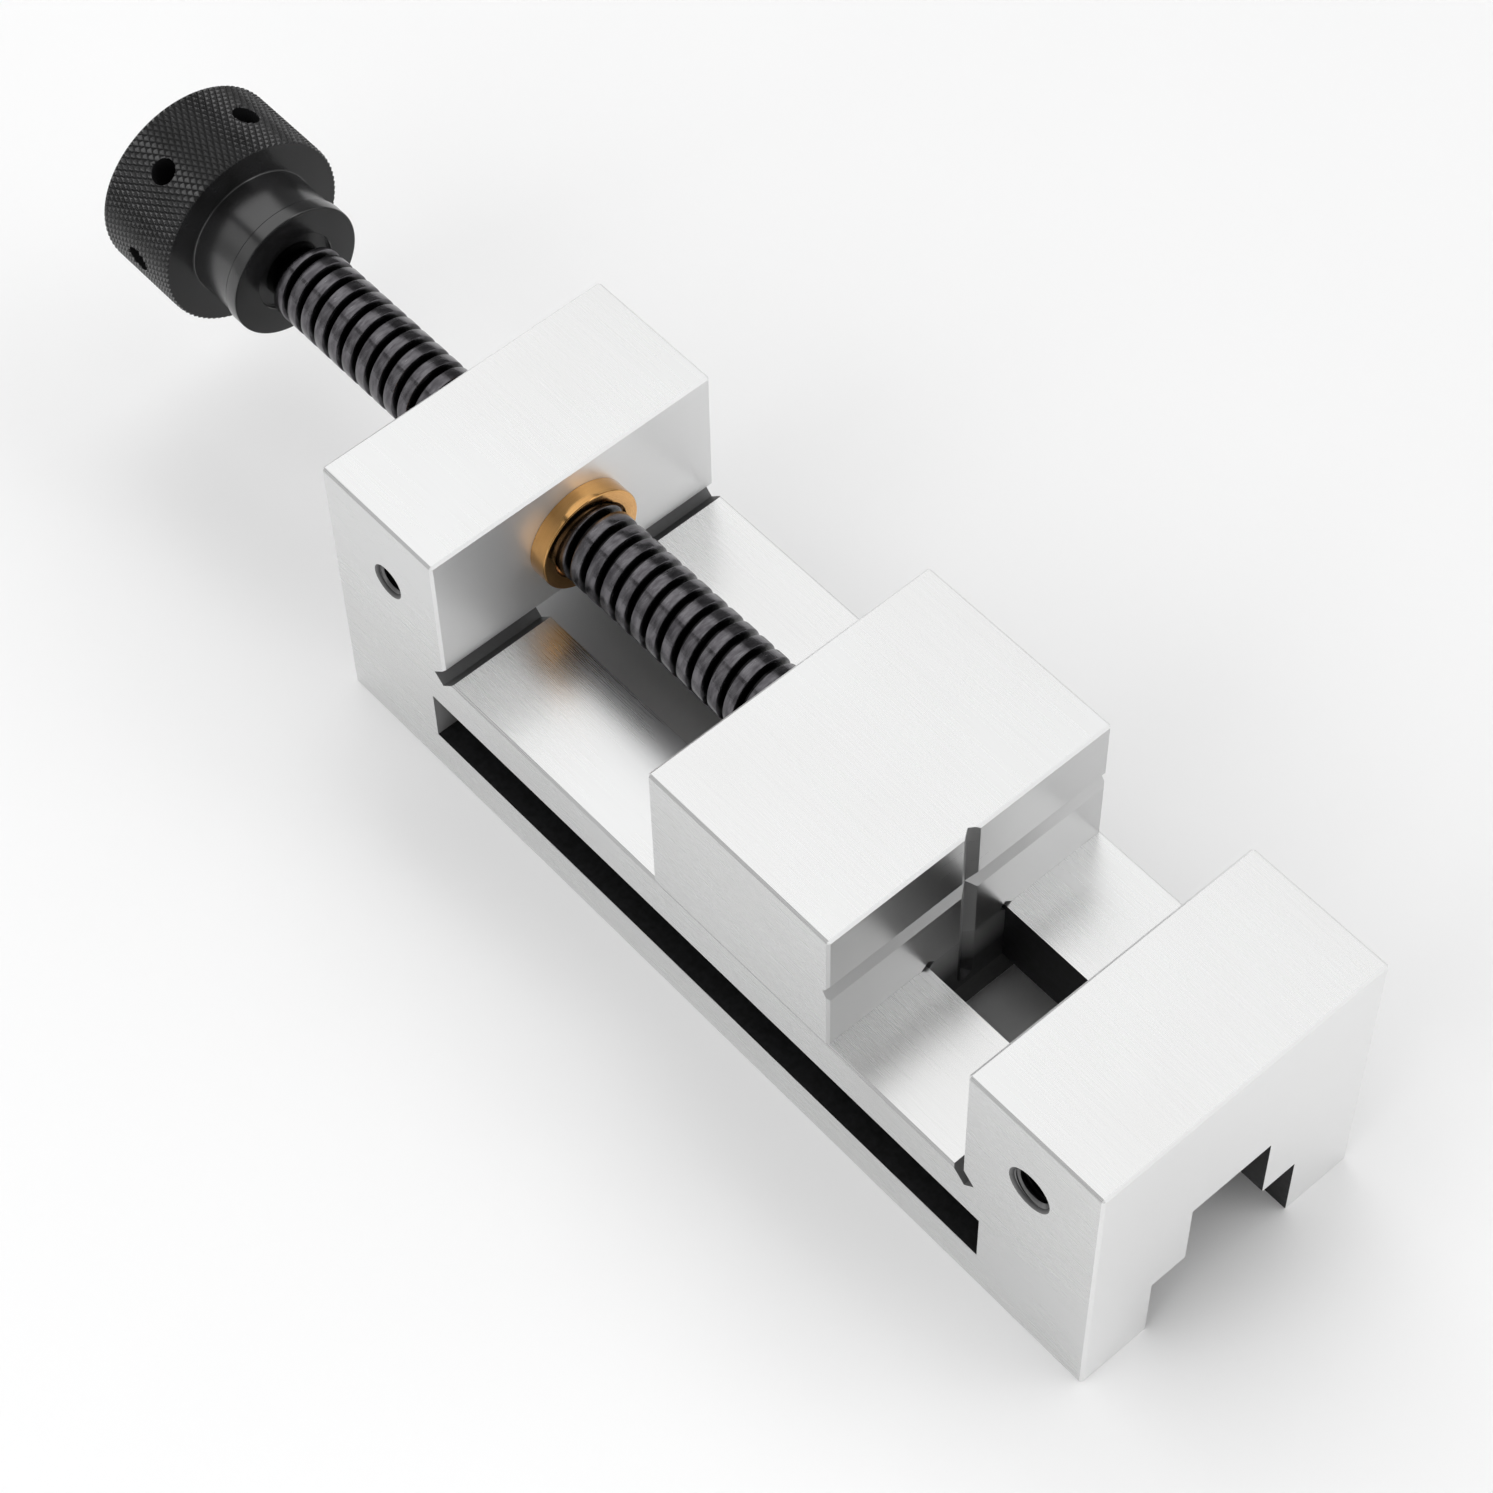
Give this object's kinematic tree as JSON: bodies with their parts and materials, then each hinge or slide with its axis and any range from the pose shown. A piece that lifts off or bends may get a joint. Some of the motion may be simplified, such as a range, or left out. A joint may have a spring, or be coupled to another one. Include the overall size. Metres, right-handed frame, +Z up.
{
  "type": "precision vise",
  "caption": "Ground steel precision vise with a fixed jaw, a sliding jaw with V grooves, and a knurled-knob lead screw running in a bronze nut.",
  "frame": {"origin": "where the fixed-jaw end face, the base plane and the centre plane meet", "axes": "+X along the vise from the fixed-jaw end towards the knob, +Y to the vise's left side seen from the fixed-jaw end towards the knob, +Z up from the base"},
  "size_m": [0.2751, 0.063, 0.067],
  "materials": {
    "ground_steel": "fine ground tool steel",
    "black_oxide_steel": "turned and blackened, satin",
    "bronze": "turned bearing bronze, satin",
    "black_fasteners": "blackened fastener steel",
    "spring_steel": "spring steel",
    "hardened_steel": "hardened and ground"
  },
  "bodies": {
    "frame": {"body": "ground_steel", "screw_nut": "bronze", "nut_lock_screw": "black_fasteners"},
    "jaw": {"movable_jaw": "ground_steel", "keeper_plate": "ground_steel", "keeper_screws": "black_fasteners", "keeper_washers": "spring_steel", "thrust_disc": "hardened_steel", "capture_pins": "hardened_steel"},
    "spindle": {"lead_screw": "black_oxide_steel", "knob": "black_oxide_steel", "knob_lock_screw": "black_fasteners"}
  },
  "joints": [
    {"name": "jaw_slide", "type": "slide", "parent": "frame", "child": "jaw", "axis": [1, 0, 0], "range_m": [-0.03195, 0.052]},
    {"name": "screw_turn", "type": "hinge", "parent": "jaw", "child": "spindle", "pos_m": [0.106, 0, 0.0474], "axis": [1, 0, 0], "range_deg": [-2875.5, 4680]}
  ],
  "couplings": [
    {"joint": "screw_turn", "follows": "jaw_slide", "rad_per_m": 1570.8}
  ]
}
